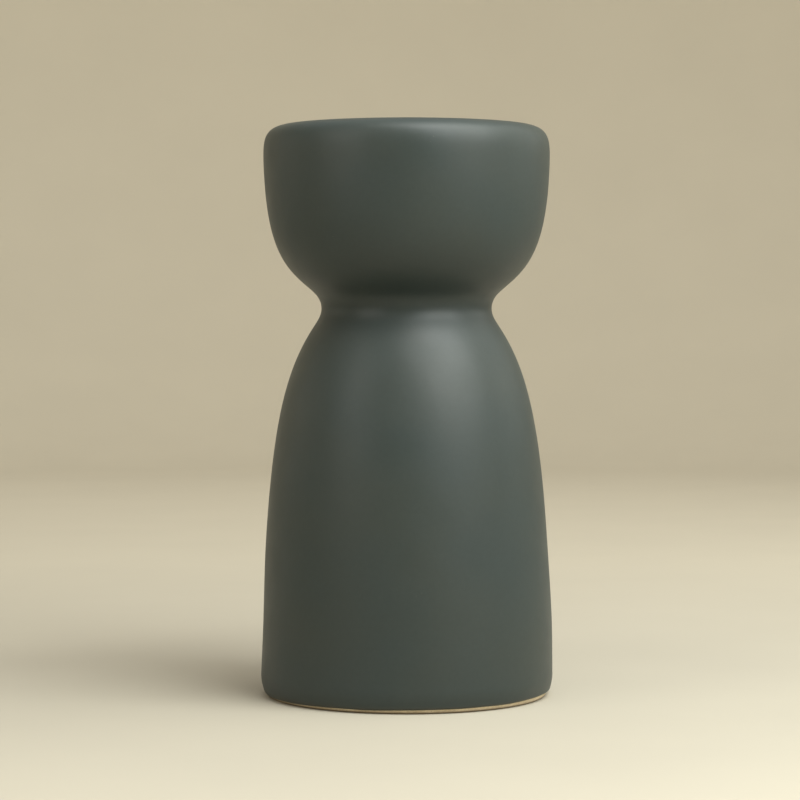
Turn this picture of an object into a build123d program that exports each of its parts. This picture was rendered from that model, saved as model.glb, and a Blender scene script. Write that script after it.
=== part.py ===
"""Ceramic bud vase: a tall domed body, a narrow waist and a cup-shaped top with a rolled-in lip.

The vase is one stoneware casting under two fired coats: a matte glaze over the outside and the
lip, and a liner glaze over the rest of the inside.  Every surface is turned about the Z axis.
All the nested outlines (outer glaze, clay outside, clay inside, liner) come from the same few
drawing functions, each at its own depth below the glazed outer surface.

Millimetres, +Z up, origin at the centre of the plane that the foot rests on.
"""

import os
from math import asin, cos, degrees, radians, sin, tan

from build123d import *

# Outer profile: radii
body_radius = 38.5
waist_radius = 22.3
cup_radius = 37.65
lip_radius = 31.0

# Outer profile: heights
height = 150.0
rim_bend_height = 139.0
rim_band_height = 138.5
waist_height = 102.0
base_bend_height = 5.5
glaze_line_height = 1.0

# Outer profile: bends, and slopes from upright in degrees
base_bend_radius = 11.0
waist_fillet = 5.2
body_slope = 1.3
shoulder_slope = 35.0
cup_slope = 49.0
rim_slope = 2.3

# Free-form stretches: heights that the walls aim at, and how far the slopes run straight on
body_pull_height = 70.0
cup_pull_height = 114.5
rim_pull_height = 146.7
shoulder_run = 16.5
cup_run = 8.4

# Thicknesses
glaze_thickness = 0.4
clay_thickness = 4.0
wall_thickness = clay_thickness + 2 * glaze_thickness

# Inside
floor_height = 6.4
floor_corner_radius = 9.0

# Underside
foot_inner_radius = 32.5
foot_recess = 1.5
foot_recess_slope = 1.0
base_dome_rise = 0.7
foot_edge_radius = 0.4

# Centres shared by the nested outlines
base_bend_centre = (body_radius - base_bend_radius, base_bend_height)
waist_centre = (waist_radius + waist_fillet, waist_height)
lip_centre = (lip_radius, height - wall_thickness / 2)
lip_corner_radius = cup_radius - wall_thickness - lip_radius
lip_corner_centre = (lip_radius, height - wall_thickness - lip_corner_radius)

# The floor corner's centre, placed so that the corner runs smoothly into the leaning wall
floor_corner_height = floor_height + floor_corner_radius
wall_reach = base_bend_radius - wall_thickness - floor_corner_radius
lean = (floor_corner_height - base_bend_height) * sin(radians(body_slope))
floor_corner_centre = (
    base_bend_centre[0] + (wall_reach - lean) / cos(radians(body_slope)),
    floor_corner_height,
)


def polar(centre, radius, angle):
    """Point on a circle, with the angle in degrees from the outward direction."""
    return (
        centre[0] + radius * cos(radians(angle)),
        centre[1] + radius * sin(radians(angle)),
    )


def leaning(base, level, angle):
    """Point at a height on the line through a base point that leans outward by an angle."""
    return (base[0] + (level - base[1]) * tan(radians(angle)), level)


def base_bend_angle(depth, level):
    """Angle at which the base bend at a depth passes a height."""
    return degrees(asin((level - base_bend_height) / (base_bend_radius - depth)))


def draw_side(depth, body_start, cup_top, top_slope):
    """Domed body, waist and cup at a depth, from low on the wall up to a point near the rim."""
    shoulder = polar(waist_centre, waist_fillet + depth, 180 + shoulder_slope)
    cup_root = polar(waist_centre, waist_fillet + depth, 180 - cup_slope)
    shoulder_pull = polar(shoulder, shoulder_run, shoulder_slope - 90)
    cup_root_pull = polar(cup_root, cup_run, 90 - cup_slope)
    Bezier(
        body_start,
        leaning(body_start, body_pull_height, -body_slope),
        shoulder_pull,
        shoulder,
    )
    CenterArc(
        waist_centre,
        waist_fillet + depth,
        180 + shoulder_slope,
        -(shoulder_slope + cup_slope),
    )
    Bezier(cup_root, cup_root_pull, leaning(cup_top, cup_pull_height, top_slope), cup_top)


def draw_outside(depth, start_height):
    """Outside at a depth, from a height on the base bend up to the rim's straight band."""
    radius = base_bend_radius - depth
    start_angle = base_bend_angle(depth, start_height)
    CenterArc(base_bend_centre, radius, start_angle, body_slope - start_angle)
    rim_bend_start = (cup_radius - depth, rim_bend_height)
    draw_side(
        depth,
        polar(base_bend_centre, radius, body_slope),
        leaning(rim_bend_start, rim_band_height, rim_slope),
        rim_slope,
    )


def draw_lip(depth):
    """Straight band, rim bend, rounded lip and the corner under it, at a depth."""
    rim_bend_start = (cup_radius - depth, rim_bend_height)
    rim_pull = leaning(rim_bend_start, rim_pull_height, rim_slope)
    Line(leaning(rim_bend_start, rim_band_height, rim_slope), rim_bend_start)
    Bezier(
        rim_bend_start,
        rim_pull,
        (rim_pull[0], height - depth),
        (lip_radius, height - depth),
    )
    CenterArc(lip_centre, wall_thickness / 2 - depth, 90, 180)
    CenterArc(lip_corner_centre, lip_corner_radius + depth, 0, 90)


def draw_inside(depth):
    """Floor, floor corner and inner wall up to the lip corner, at a depth below the liner."""
    radius = floor_corner_radius + depth
    Line((0, floor_height - depth), (floor_corner_centre[0], floor_height - depth))
    CenterArc(floor_corner_centre, radius, 270, 90 + body_slope)
    draw_side(
        wall_thickness - depth,
        polar(floor_corner_centre, radius, body_slope),
        (cup_radius - wall_thickness + depth, lip_corner_centre[1]),
        0,
    )


def draw_coat_end():
    """Cut through the coats at the foot of the lip corner, where outer glaze and liner meet."""
    Line(
        polar(lip_corner_centre, lip_corner_radius, 0),
        polar(lip_corner_centre, lip_corner_radius + glaze_thickness, 0),
    )


# One casting: cup, waist, body, floor and foot ring
with BuildPart() as stoneware_body:
    with BuildSketch(Plane.XZ):
        with BuildLine():
            draw_outside(glaze_thickness, 0)
            draw_lip(glaze_thickness)
            draw_inside(glaze_thickness)
            foot_outer = polar(
                base_bend_centre,
                base_bend_radius - glaze_thickness,
                base_bend_angle(glaze_thickness, 0),
            )
            foot_inner = (foot_inner_radius, 0)
            recess_edge = (foot_inner_radius - foot_recess_slope, foot_recess)
            dome_top = (0, foot_recess + base_dome_rise)
            Line(foot_outer, foot_inner)
            Line(foot_inner, recess_edge)
            TangentArc(dome_top, recess_edge, tangent=(1, 0))
            Line(dome_top, (0, floor_height - glaze_thickness))
        make_face()
    revolve(axis=Axis.Z)
    foot_edges = stoneware_body.edges().filter_by(GeomType.CIRCLE).group_by(Axis.Z)[0]
    fillet(foot_edges, radius=foot_edge_radius)

# Coat over the outside and the lip, from the glaze line to the lip corner
with BuildPart() as outer_glaze:
    with BuildSketch(Plane.XZ):
        with BuildLine():
            glaze_line = []
            for depth in (0, glaze_thickness):
                draw_outside(depth, glaze_line_height)
                draw_lip(depth)
                angle = base_bend_angle(depth, glaze_line_height)
                glaze_line.append(polar(base_bend_centre, base_bend_radius - depth, angle))
            Line(*glaze_line)
            draw_coat_end()
        make_face()
    revolve(axis=Axis.Z)

# Coat over the floor and the inner wall, up to the lip corner
with BuildPart() as liner_glaze:
    with BuildSketch(Plane.XZ):
        with BuildLine():
            for depth in (0, glaze_thickness):
                draw_inside(depth)
            Line((0, floor_height - glaze_thickness), (0, floor_height))
            draw_coat_end()
        make_face()
    revolve(axis=Axis.Z)

stoneware_body.part.label = "stoneware_body"
outer_glaze.part.label = "outer_glaze"
liner_glaze.part.label = "liner_glaze"

os.makedirs("parts", exist_ok=True)
export_step(stoneware_body.part, "parts/stoneware_body.step")
export_step(outer_glaze.part, "parts/outer_glaze.step")
export_step(liner_glaze.part, "parts/liner_glaze.step")
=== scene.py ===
"""Looks of the ceramic bud vase: fine turned meshes with the small unevenness of a hand-finished
casting, glaze and clay materials, a pale round studio and soft lights.

Lengths are in metres, and MM turns millimetres into metres; only the patterns of the materials
are sized in millimetres.  Angles are in degrees, apart from ANGLES and what is added to it.
"""

from math import asin, cos, degrees, pi, radians, sin, tan

import bpy
import numpy as np
from mathutils import Euler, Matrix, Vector


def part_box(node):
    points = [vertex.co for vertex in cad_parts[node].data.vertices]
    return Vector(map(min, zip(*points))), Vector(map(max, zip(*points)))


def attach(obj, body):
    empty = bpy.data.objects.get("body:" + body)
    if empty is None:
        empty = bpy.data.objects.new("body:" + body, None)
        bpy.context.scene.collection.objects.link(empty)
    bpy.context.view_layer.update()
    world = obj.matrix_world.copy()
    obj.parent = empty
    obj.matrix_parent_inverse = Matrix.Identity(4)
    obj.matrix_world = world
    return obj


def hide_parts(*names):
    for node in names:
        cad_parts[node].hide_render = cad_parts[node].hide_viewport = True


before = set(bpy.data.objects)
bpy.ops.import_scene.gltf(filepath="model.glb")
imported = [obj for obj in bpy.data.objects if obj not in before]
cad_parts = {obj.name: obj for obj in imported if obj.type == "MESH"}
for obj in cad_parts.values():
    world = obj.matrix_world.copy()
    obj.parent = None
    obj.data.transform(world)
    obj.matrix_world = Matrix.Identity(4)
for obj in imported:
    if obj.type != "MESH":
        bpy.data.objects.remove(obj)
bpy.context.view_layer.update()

MM = 0.001
SEGMENTS = 256

# Angles of the points round a ring, in radians
ANGLES = np.arange(SEGMENTS) * (2 * pi / SEGMENTS)

# Points on each stretch of an outline, and the share of them that a surface gets
STEPS = {
    "body": 96,
    "waist": 24,
    "cup": 48,
    "rim_bend": 30,
    "lip": 22,
    "lip_corner": 10,
    "floor": 20,
    "floor_corner": 20,
}
SEEN = 1
SEEN_INSIDE = 0.9
HIDDEN = 0.4

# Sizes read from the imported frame; the radius is rounded to the nearest tenth of a millimetre
glaze_low, glaze_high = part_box("outer_glaze")
clay_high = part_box("stoneware_body")[1]
liner_low, liner_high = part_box("liner_glaze")
height = glaze_high.z
body_radius = round(glaze_high.x / MM, 1) * MM
glaze = glaze_high.z - clay_high.z
glaze_line = glaze_low.z
floor_level = liner_low.z + glaze
lip_corner_level = liner_high.z

# The rest of the CAD outline
waist_radius = 22.3 * MM
waist_level = 102 * MM
waist_fillet = 5.2 * MM
cup_radius = 37.65 * MM
lip_radius = 31 * MM
wall = 4 * MM + 2 * glaze
rim_bend_level = 139 * MM
rim_pull_level = 146.7 * MM
rim_band_level = 138.5 * MM
base_bend_radius = 11 * MM
base_bend_level = 5.5 * MM
body_pull_level = 70 * MM
cup_pull_level = 114.5 * MM
shoulder_run = 16.5 * MM
cup_run = 8.4 * MM
floor_corner_radius = 9 * MM
foot_inner_radius = 32.5 * MM
foot_recess = 1.5 * MM
foot_recess_slope = 1 * MM
base_dome_rise = 0.7 * MM
body_slope = 1.3
shoulder_slope = 35
cup_slope = 49
rim_slope = 2.3

base_bend_centre = (body_radius - base_bend_radius, base_bend_level)
waist_centre = (waist_radius + waist_fillet, waist_level)
lip_centre = (lip_radius, height - wall / 2)
lip_corner_radius = cup_radius - wall - lip_radius
lip_corner_centre = (lip_radius, lip_corner_level)
floor_corner_level = floor_level + floor_corner_radius
floor_corner_lean = (floor_corner_level - base_bend_level) * sin(radians(body_slope))
floor_corner_reach = base_bend_radius - wall - floor_corner_radius - floor_corner_lean
floor_corner_centre = (
    base_bend_centre[0] + floor_corner_reach / cos(radians(body_slope)),
    floor_corner_level,
)

# The glaze's edge above the foot: tilt, lobes per turn with their heights, rounding and roll,
# and rings over the base bend, which crowd towards the edge
EDGE_TILT = 0.39 * MM
EDGE_LOBES = {3: 0.05 * MM, 7: 0.04 * MM, 12: 0.03 * MM, 19: 0.02 * MM}
EDGE_ROUNDING = 0.5 * MM
EDGE_ROLL = 0.05 * MM
EDGE_RINGS = 40
EDGE_CROWDING = 1.8

# How far melting glaze eases the bends of the outside, and wear softens the foot ring's edges
GLAZE_EASE = 1.3 * MM
FOOT_SOFTENING = 0.55 * MM

# Unevenness from drying and firing: a sideways stray low down and at the top, and lobes
LOW_STRAY = 0.30 * MM
LOW_STRAY_LEVEL = 20 * MM
LOW_STRAY_SPREAD = 14 * MM
TOP_STRAY = -0.06 * MM
OVAL = 0.10 * MM
THREE_LOBES = 0.05 * MM
RIPPLE = 0.025 * MM


# Outlines: arrays of (radius, height) points

def polar(centre, radius, angle):
    """Point on a circle, angle from the outward direction."""
    return (
        centre[0] + radius * cos(radians(angle)),
        centre[1] + radius * sin(radians(angle)),
    )


def leaning(base, level, angle):
    """Point at a height on the line through a base point that leans outward by an angle."""
    return (base[0] + (level - base[1]) * tan(radians(angle)), level)


def arc(centre, radius, start, end, count):
    """Points on a circle between two angles."""
    angle = np.radians(np.linspace(start, end, count))
    return np.column_stack((centre[0] + radius * np.cos(angle), centre[1] + radius * np.sin(angle)))


def line(start, end, count):
    """Evenly spaced points from start to end."""
    return np.linspace(start, end, count)


def bezier(start, start_pull, end_pull, end, count):
    """Points on a cubic curve that leaves for one pull point and arrives from the other."""
    t = np.linspace(0, 1, count)[:, None]
    s = 1 - t
    start, start_pull, end_pull, end = map(np.asarray, (start, start_pull, end_pull, end))
    return s**3 * start + 3 * s * s * t * start_pull + 3 * s * t * t * end_pull + t**3 * end


def steps(stretch, share):
    """Number of points for a stretch of an outline."""
    return round(STEPS[stretch] * share)


def chain(*stretches):
    """Stretches joined into one outline; each starts where the one before it ends."""
    return np.concatenate([stretches[0]] + [stretch[1:] for stretch in stretches[1:]])


def soften(outline, spread):
    """Outline with its bends eased over a spread of its length, as melting glaze eases them.

    The easing fades away over three spreads at either end, so that the ends stay in place.
    """
    gaps = np.hypot(*np.diff(outline, axis=0).T)
    length = np.concatenate(([0], np.cumsum(gaps)))
    weight = np.exp(-0.5 * ((length[:, None] - length) / spread) ** 2) * np.gradient(length)
    eased = weight @ outline / weight.sum(axis=1, keepdims=True)
    to_end = np.minimum(length, length[-1] - length)
    fade = np.clip(to_end / (3 * spread), 0, 1)[:, None]
    return outline + fade * fade * (3 - 2 * fade) * (eased - outline)


def base_bend_outline(depth, start_level, count):
    """Bend at the foot, from a height up to where the body starts."""
    radius = base_bend_radius - depth
    start = degrees(asin((start_level - base_bend_level) / radius))
    return arc(base_bend_centre, radius, start, body_slope, count)


def side_outline(depth, body_start, cup_top, top_slope, share):
    """Domed body, waist and cup at a depth below the glazed outer surface."""
    body_pull = leaning(body_start, body_pull_level, -body_slope)
    fillet = waist_fillet + depth
    shoulder = polar(waist_centre, fillet, 180 + shoulder_slope)
    cup_root = polar(waist_centre, fillet, 180 - cup_slope)
    shoulder_pull = polar(shoulder, shoulder_run, shoulder_slope - 90)
    cup_root_pull = polar(cup_root, cup_run, 90 - cup_slope)
    cup_pull = leaning(cup_top, cup_pull_level, top_slope)
    return chain(
        bezier(body_start, body_pull, shoulder_pull, shoulder, steps("body", share)),
        arc(waist_centre, fillet, 180 + shoulder_slope, 180 - cup_slope, steps("waist", share)),
        bezier(cup_root, cup_root_pull, cup_pull, cup_top, steps("cup", share)),
    )


def rim_outline(depth, share):
    """Straight band and rim bend, up to the crown of the lip."""
    bend_start = (cup_radius - depth, rim_bend_level)
    bend_pull = leaning(bend_start, rim_pull_level, rim_slope)
    crown_pull = (bend_pull[0], height - depth)
    crown = (lip_radius, height - depth)
    return chain(
        line(leaning(bend_start, rim_band_level, rim_slope), bend_start, count=2),
        bezier(bend_start, bend_pull, crown_pull, crown, steps("rim_bend", share)),
    )


def lip_outline(depth, share):
    """Rounded lip from its crown, and the corner under it."""
    return chain(
        arc(lip_centre, wall / 2 - depth, 90, 270, steps("lip", share)),
        arc(lip_corner_centre, lip_corner_radius + depth, 90, 0, steps("lip_corner", share)),
    )


def outer_wall_outline(depth, share):
    """From the top of the base bend up the outside and over the lip."""
    side_start = polar(base_bend_centre, base_bend_radius - depth, body_slope)
    band_start = leaning((cup_radius - depth, rim_bend_level), rim_band_level, rim_slope)
    side = side_outline(depth, side_start, band_start, rim_slope, share)
    side_and_rim = chain(side, rim_outline(depth, share))
    return chain(soften(side_and_rim, GLAZE_EASE), lip_outline(depth, share))


def inside_outline(depth, share):
    """Floor, floor corner and inner wall, at a depth below the liner's surface."""
    radius = floor_corner_radius + depth
    corner_start = (floor_corner_centre[0], floor_level - depth)
    wall_start = polar(floor_corner_centre, radius, body_slope)
    wall_end = (cup_radius - wall + depth, lip_corner_level)
    return chain(
        line((0, floor_level - depth), corner_start, steps("floor", share)),
        arc(floor_corner_centre, radius, 270, 360 + body_slope, steps("floor_corner", share)),
        side_outline(wall - depth, wall_start, wall_end, 0, share),
    )


# Meshes turned about the Z axis

def wander(lobes, seed):
    """Uneven line round the vase: lobes gives each number of lobes per turn its height."""
    dice = np.random.default_rng(seed)
    return sum(h * np.cos(n * ANGLES + dice.uniform(0, 2 * pi)) for n, h in lobes.items())


def warp(radius, level):
    """Moves turned points as drying and firing did: out of round, and a little off the axis.

    The lobes turn slowly with height, so that none runs straight up the wall.
    """
    rise = level / height
    share = np.clip(radius / body_radius, 0, 1)
    stray = LOW_STRAY * np.exp(-(((level - LOW_STRAY_LEVEL) / LOW_STRAY_SPREAD) ** 2))
    stray = stray + TOP_STRAY * rise**4
    oval = OVAL * np.cos(2 * ANGLES + 0.8 + 1.3 * rise)
    lobes = THREE_LOBES * np.cos(3 * ANGLES + 2.1 - 2.4 * rise)
    ripple = RIPPLE * np.sin(5 * ANGLES + 9 * rise) * np.sin(14 * rise + 1.0)
    moved = radius + (oval + lobes + ripple) * share
    return moved * np.cos(ANGLES) + stray * share, moved * np.sin(ANGLES)


def turned(radius, level):
    """Rings of warped points; radius and level are (points,) or (points, SEGMENTS) arrays."""
    shape = (len(radius), SEGMENTS)
    radius = np.broadcast_to(radius.reshape(len(radius), -1), shape)
    level = np.broadcast_to(level.reshape(len(level), -1), shape)
    return np.stack((*warp(radius, level), level), axis=2)


def ring_mesh(name, rings, loop=False, first_pole=None, last_pole=None):
    """Mesh over rings of points, an array (rings, SEGMENTS, 3).

    Faces look outward when the rings run up the outside and back down the inside.  The rings
    join in a loop, or each end closes in a pole or stays open.
    """
    index = np.arange(len(rings) * SEGMENTS).reshape(-1, SEGMENTS)
    beside = np.roll(index, -1, axis=1)
    below = index if loop else index[:-1]
    above = np.roll(index, -1, axis=0) if loop else index[1:]
    corners = (below, np.roll(below, -1, axis=1), np.roll(above, -1, axis=1), above)
    faces = np.stack(corners, axis=2).reshape(-1, 4).tolist()
    vertices = rings.reshape(-1, 3).tolist()
    if first_pole:
        pole = len(vertices)
        vertices.append(first_pole)
        faces += [(pole, b, a) for a, b in zip(index[0].tolist(), beside[0].tolist())]
    if last_pole:
        pole = len(vertices)
        vertices.append(last_pole)
        faces += [(pole, a, b) for a, b in zip(index[-1].tolist(), beside[-1].tolist())]
    mesh = bpy.data.meshes.new(name)
    mesh.from_pydata(vertices, [], faces)
    mesh.validate()
    mesh.shade_smooth()
    piece = bpy.data.objects.new(name, mesh)
    bpy.context.scene.collection.objects.link(piece)
    return piece


def turned_between_poles(name, outline):
    """Closed piece from an outline whose two ends are on the axis."""
    return ring_mesh(
        name,
        turned(outline[1:-1, 0], outline[1:-1, 1]),
        first_pole=(0, 0, outline[0, 1]),
        last_pole=(0, 0, outline[-1, 1]),
    )


# Pieces

def build_outer_glaze():
    """Coat over the outside and the lip, thinning to a rounded, wavy edge above the foot."""
    edge_level = glaze_line + EDGE_TILT * np.cos(ANGLES) + wander(EDGE_LOBES, seed=4)
    bend_top = polar(base_bend_centre, base_bend_radius, body_slope)[1]
    climb = (bend_top - edge_level) * (np.linspace(0, 1, EDGE_RINGS) ** EDGE_CROWDING)[:, None]
    level = edge_level + climb
    swell = np.sqrt(1 - (1 - np.clip(climb / EDGE_ROUNDING, 0, 1)) ** 2)
    roll = EDGE_ROLL * np.exp(-((climb / EDGE_ROUNDING - 1) ** 2))
    bend_radius = base_bend_radius - glaze + (glaze + roll) * swell
    radius = base_bend_centre[0] + np.sqrt(bend_radius**2 - (level - base_bend_level) ** 2)
    back_of_bend = base_bend_outline(glaze, glaze_line + 2 * EDGE_TILT, count=8)[:-1]
    rest = np.concatenate(
        (
            outer_wall_outline(0, SEEN)[1:],
            outer_wall_outline(glaze, HIDDEN)[::-1],
            back_of_bend[::-1],
        )
    )
    rings = np.concatenate((turned(radius, level), turned(rest[:, 0], rest[:, 1])))
    return ring_mesh("outer_glaze_coat", rings, loop=True)


def build_liner_glaze():
    """Coat over the floor and the inner wall, up to the lip corner."""
    against_clay = inside_outline(glaze, HIDDEN)
    outline = np.concatenate((against_clay, inside_outline(0, SEEN_INSIDE)[::-1]))
    return turned_between_poles("liner_glaze_coat", outline)


def build_stoneware():
    """Clay body under the coats; its foot ring, recess and underside stay bare.

    Short curves round the two edges of the foot ring, in place of the outline's points there.
    """
    bend = base_bend_outline(glaze, 0, count=30)
    softened = 3
    foot_outer = (bend[0, 0], 0)
    foot_inner = (foot_inner_radius, 0)
    recess_edge = (foot_inner_radius - foot_recess_slope, foot_recess)
    outward = np.linspace(0, 1, 60)
    dome = foot_recess + base_dome_rise * (1 - outward**2)
    recess_side = line(recess_edge, foot_inner, count=8)[:-2]
    tread_start = (foot_inner[0] + FOOT_SOFTENING, 0)
    tread_end = (foot_outer[0] - FOOT_SOFTENING, 0)
    outline = chain(
        np.column_stack((outward * recess_edge[0], dome)),
        recess_side,
        bezier(recess_side[-1], foot_inner, foot_inner, tread_start, count=7),
        line(tread_start, tread_end, count=12),
        bezier(tread_end, foot_outer, foot_outer, bend[softened], count=9),
        bend[softened:],
        outer_wall_outline(glaze, HIDDEN),
        inside_outline(glaze, HIDDEN)[::-1],
    )
    return turned_between_poles("stoneware_body_clay", outline)


# Materials: patterns are sized and placed in millimetres, relief rises in metres

def add_node(tree, kind, inputs, **settings):
    """New node; inputs maps a socket's name or place to a value or to the socket that feeds it."""
    node = tree.nodes.new(kind)
    for key, value in settings.items():
        setattr(node, key, value)
    for key, value in inputs.items():
        if isinstance(value, bpy.types.NodeSocket):
            tree.links.new(value, node.inputs[key])
        else:
            node.inputs[key].default_value = value
    return node


def new_material(name):
    """Material with an empty node tree; returns it, the tree and each point's place in mm."""
    material = bpy.data.materials.new(name)
    material.use_nodes = True
    tree = material.node_tree
    tree.nodes.clear()
    place = add_node(tree, "ShaderNodeTexCoord", {}).outputs["Object"]
    scaled = add_node(tree, "ShaderNodeVectorMath", {0: place, "Scale": 1 / MM}, operation="SCALE")
    return material, tree, scaled.outputs["Vector"]


def finish_material(material, tree, tone, roughness, normal, **shader_inputs):
    """Ends the tree in one Principled shader; other inputs are named with _ for a space."""
    inputs = {"Base Color": tone, "Roughness": roughness, "Normal": normal}
    inputs.update({key.replace("_", " "): value for key, value in shader_inputs.items()})
    shader = add_node(tree, "ShaderNodeBsdfPrincipled", inputs)
    add_node(tree, "ShaderNodeOutputMaterial", {"Surface": shader.outputs["BSDF"]})
    return material


def colour(red, green, blue):
    """Opaque colour from linear parts."""
    return (red, green, blue, 1.0)


def remap(tree, value, source, target):
    """Value taken from one range to another, and kept inside it."""
    inputs = {0: value, 1: source[0], 2: source[1], 3: target[0], 4: target[1]}
    return add_node(tree, "ShaderNodeMapRange", inputs, clamp=True).outputs[0]


def multiply(tree, value, factor):
    """Product of two values; either can be a socket."""
    return add_node(tree, "ShaderNodeMath", {0: value, 1: factor}, operation="MULTIPLY").outputs[0]


def blend_colour(tree, factor, first, second):
    """First colour at factor 0, second at 1; 0, 6, 7 and 2 are the Mix node's colour sockets."""
    inputs = {0: factor, 6: first, 7: second}
    return add_node(tree, "ShaderNodeMix", inputs, data_type="RGBA").outputs[2]


def tint(tree, factor, tone, strength):
    """Tone made darker and lighter by a factor that goes from 0 to 1."""
    value = remap(tree, factor, (0, 1), (1 - strength, 1 + strength))
    return add_node(tree, "ShaderNodeHueSaturation", {"Value": value, "Color": tone}).outputs[0]


def bump(tree, value, rise, below=None):
    """Surface relief that follows a value, rise metres high at 1, on top of the relief below."""
    inputs = {"Height": value, "Distance": rise, "Strength": 1.0}
    if below:
        inputs["Normal"] = below
    return add_node(tree, "ShaderNodeBump", inputs).outputs["Normal"]


def level_above(tree, place):
    """Height above the table."""
    return add_node(tree, "ShaderNodeSeparateXYZ", {0: place}).outputs["Z"]


def reach(tree, place):
    """Distance from the origin, the middle of the foot."""
    return add_node(tree, "ShaderNodeVectorMath", {0: place}, operation="LENGTH").outputs["Value"]


def moved_aside(tree, place, distance):
    """Place moved, so that a second pattern doesn't repeat the first."""
    inputs = {0: place, 1: (distance, distance, distance)}
    return add_node(tree, "ShaderNodeVectorMath", inputs, operation="ADD").outputs[0]


def noise(tree, place, size, detail=2.0):
    """Smooth noise around 0.5, with lumps of about a size."""
    inputs = {"Vector": place, "Scale": 1 / size, "Detail": detail}
    return add_node(tree, "ShaderNodeTexNoise", inputs).outputs["Fac"]


def specks(tree, place, spacing, radius):
    """1 at the middle of scattered dots, falling to 0 at the dots' radius."""
    inputs = {"Vector": place, "Scale": 1 / spacing}
    distance = add_node(tree, "ShaderNodeTexVoronoi", inputs).outputs["Distance"]
    return remap(tree, distance, (0, radius / spacing), (1, 0))


def add_specks(tree, place, tone, spacing, radius, strength, speck_tone):
    """Tone with scattered soft dots of another tone over it."""
    dots = multiply(tree, specks(tree, place, spacing, radius), strength)
    return blend_colour(tree, dots, tone, speck_tone)


def waist_painted_shade(tree, level):
    """Share of painted shade: most in the waist, thinning out down the shoulder and up the cup."""
    above_shoulder = remap(tree, level, (94, 103), (0, 1))
    up_the_cup = remap(tree, level, (106, 126), (0.45, 0))
    return multiply(tree, above_shoulder, up_the_cup)


def slate_glaze(name, thin_edge):
    """Satin matte slate glaze: faint clouds, fine mottling, rare specks, and painted shade in the
    waist and under the cup.

    With a thin edge, it turns browner just above the foot.
    """
    material, tree, place = new_material(name)
    level = level_above(tree, place)
    clouds = remap(tree, noise(tree, place, 26, detail=1.5), (0.35, 0.65), (0, 1))
    tone = blend_colour(tree, clouds, colour(0.030, 0.042, 0.0405), colour(0.033, 0.043, 0.039))
    # Painted shade: the glaze is darkened in the waist and under the cup, where shade falls.
    tone = blend_colour(tree, waist_painted_shade(tree, level), tone, colour(0.012, 0.018, 0.017))
    tone = tint(tree, noise(tree, place, 1.3, detail=3), tone, 0.10)
    tone = add_specks(tree, place, tone, 6.0, 0.22, 0.25, colour(0.16, 0.17, 0.14))
    aside = moved_aside(tree, place, 41)
    tone = add_specks(tree, aside, tone, 7.0, 0.25, 0.5, colour(0.020, 0.025, 0.022))
    if thin_edge:
        browning = remap(tree, level, (0.6, 2.2), (0.55, 0))
        tone = blend_colour(tree, browning, tone, colour(0.062, 0.055, 0.036))
    roughness = remap(tree, noise(tree, place, 9, detail=2), (0.3, 0.7), (0.42, 0.48))
    relief = bump(tree, noise(tree, place, 3.5, detail=1), 0.006 * MM)
    relief = bump(tree, noise(tree, place, 0.35, detail=2), 0.0035 * MM, below=relief)
    return finish_material(material, tree, tone, roughness, relief, Specular_IOR_Level=0.43)


def foot_contact_shadow(tree, place):
    """Mask of a painted contact shadow, a dark line low on the outside of the foot; the tread inside
    it stays clean.
    """
    low = remap(tree, level_above(tree, place), (0.1, 0.75), (0.95, 0))
    outside = remap(tree, reach(tree, place), (35.8, 36.3), (0, 1))
    return multiply(tree, low, outside)


def bare_stoneware():
    """Fired buff clay: sandy grain, brown and pale grog specks, a dark brown painted contact shadow
    round the foot.
    """
    material, tree, place = new_material("bare_stoneware")
    patches = remap(tree, noise(tree, place, 4, detail=3), (0.35, 0.65), (0, 1))
    tone = blend_colour(tree, patches, colour(0.62, 0.51, 0.34), colour(0.70, 0.59, 0.41))
    tone = tint(tree, noise(tree, place, 0.5, detail=3), tone, 0.25)
    tone = add_specks(tree, place, tone, 1.6, 0.16, 0.7, colour(0.13, 0.08, 0.04))
    aside = moved_aside(tree, place, 17)
    tone = add_specks(tree, aside, tone, 1.9, 0.2, 0.5, colour(0.78, 0.70, 0.54))
    # Painted contact shadow: a dark brown line low round the outside of the foot.
    tone = blend_colour(tree, foot_contact_shadow(tree, place), tone, colour(0.11, 0.07, 0.035))
    roughness = remap(tree, noise(tree, place, 2), (0.3, 0.7), (0.82, 0.95))
    relief = bump(tree, noise(tree, place, 1.1, detail=4), 0.06 * MM)
    return finish_material(material, tree, tone, roughness, relief)


def plain_stage():
    """Pale warm matte finish, a little darker round the vase than further out."""
    material, tree, place = new_material("pale_stage")
    away = remap(tree, reach(tree, place), (110, 380), (0, 1))
    tone = blend_colour(tree, away, colour(0.455, 0.42, 0.34), colour(0.56, 0.515, 0.41))
    tone = tint(tree, noise(tree, place, 60, detail=3), tone, 0.03)
    relief = bump(tree, noise(tree, place, 1.5, detail=2), 0.02 * MM)
    return finish_material(material, tree, tone, roughness=0.9, normal=relief)


# Stage, camera and lights

def build_stage():
    """Round floor that curves up into a wall on every side."""
    floor_radius = 0.95
    sweep_radius = 0.35
    wall_radius = floor_radius + sweep_radius
    wall_top = 1.3
    outline = chain(
        line((0, 0), (floor_radius, 0), count=12),
        arc((floor_radius, sweep_radius), sweep_radius, 270, 360, count=24),
        line((wall_radius, sweep_radius), (wall_radius, wall_top), count=4),
    )
    x = outline[1:, 0, None] * np.cos(ANGLES)
    y = outline[1:, 0, None] * np.sin(ANGLES)
    z = np.broadcast_to(outline[1:, 1, None], x.shape)
    stage = ring_mesh("studio_sweep", np.stack((x, y, z), axis=2), first_pole=(0, 0, 0))
    stage.data.flip_normals()
    stage.data.materials.append(plain_stage())


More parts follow.
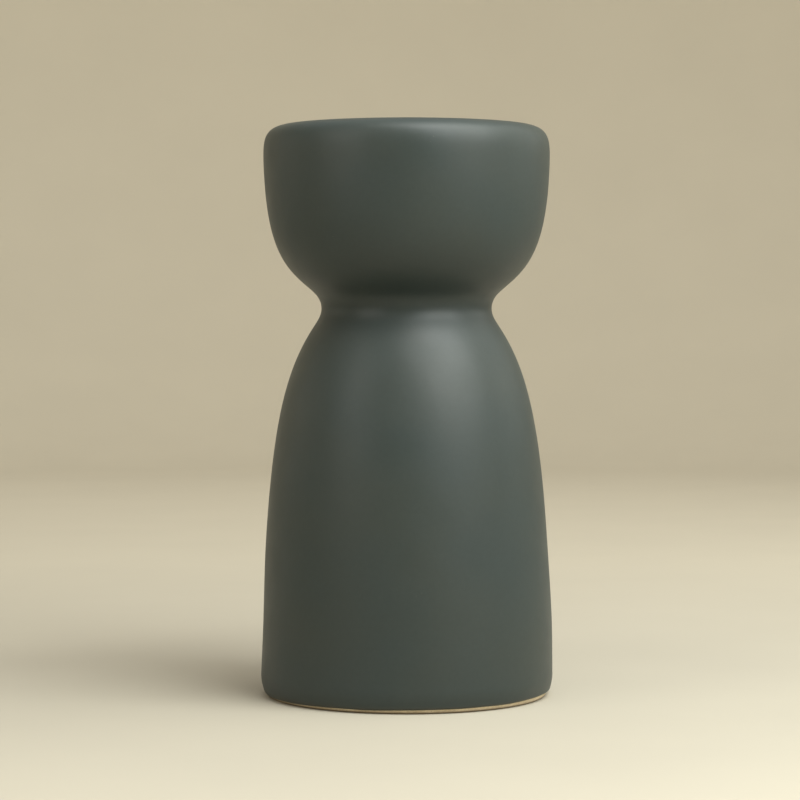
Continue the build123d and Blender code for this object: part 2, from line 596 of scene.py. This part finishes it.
def add_camera():
    """Long lens in front of the vase and a little above its middle, looking slightly down."""
    downward_tilt = 2.055
    data = bpy.data.cameras.new("camera")
    data.sensor_width = 36
    data.lens = 118.05
    data.clip_start = 0.01
    camera = bpy.data.objects.new("camera", data)
    camera.location = (-0.0017, -0.6928, 0.10264)
    camera.rotation_euler = Euler((radians(90 - downward_tilt), 0, 0))
    bpy.context.scene.collection.objects.link(camera)
    bpy.context.scene.camera = camera


def add_softbox(name, azimuth, elevation, distance, size, power, tone, aim=(0, 0, height / 2)):
    """Soft light that faces the aim; azimuth turns from the camera's side to the right."""
    data = bpy.data.lights.new(name, "AREA")
    data.shape = "RECTANGLE"
    data.size, data.size_y = size
    data.energy = power
    data.color = tone
    lamp = bpy.data.objects.new(name, data)
    away = Vector(
        (
            sin(radians(azimuth)) * cos(radians(elevation)),
            -cos(radians(azimuth)) * cos(radians(elevation)),
            sin(radians(elevation)),
        )
    )
    lamp.location = Vector(aim) + distance * away
    lamp.rotation_euler = away.to_track_quat("Z", "Y").to_euler()
    lamp.visible_camera = False
    bpy.context.scene.collection.objects.link(lamp)


def add_lights():
    """Main lights on the right, weaker ones on the left, one on the wall behind, and a soft sky.

    Each light has its azimuth, elevation, distance, size, power and tone.
    """
    backdrop_middle = (0, 1.2, 0.2)
    add_softbox("key", 48, 43, 0.52, (0.45, 0.43), 3.65, (0.96, 1.0, 0.975))
    add_softbox("key_low", 52, 16, 0.52, (0.3, 0.2), 0.2, (0.96, 0.99, 1.0))
    add_softbox("top", 37, 70, 0.5, (0.35, 0.25), 1.1, (1.0, 0.99, 0.95))
    add_softbox("side", 112, 30, 0.8, (0.5, 0.64), 1.2, (0.98, 1.0, 0.94))
    add_softbox("side_low", 95, 13, 0.82, (0.4, 0.34), 0.28, (0.98, 1.0, 1.0))
    add_softbox("front_left", -50, 28, 0.38, (0.17, 0.24), 0.24, (1.0, 0.98, 0.92))
    add_softbox("front_low", -42, 10, 0.6, (0.3, 0.18), 0.1, (1.0, 0.99, 0.96))
    add_softbox("left", -105, 12, 1.02, (0.5, 0.36), 0.35, (1.0, 0.97, 0.86))
    add_softbox("backdrop", 0, 35, 0.9, (1.2, 0.3), 3.1, (1.0, 0.98, 0.93), aim=backdrop_middle)
    world = bpy.data.worlds.new("world")
    world.use_nodes = True
    background = world.node_tree.nodes["Background"]
    background.inputs["Color"].default_value = colour(1.0, 0.97, 0.92)
    background.inputs["Strength"].default_value = 0.6
    bpy.context.scene.world = world
    bpy.context.scene.view_settings.view_transform = "Standard"


def show(piece, material, node):
    """Shows a piece in place of a CAD node, on the vase's one body, with its finish."""
    piece.data.materials.append(material)
    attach(piece, "root")
    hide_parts(node)


show(build_outer_glaze(), slate_glaze("slate_glaze", thin_edge=True), "outer_glaze")
show(build_liner_glaze(), slate_glaze("slate_liner", thin_edge=False), "liner_glaze")
show(build_stoneware(), bare_stoneware(), "stoneware_body")
build_stage()
add_camera()
add_lights()
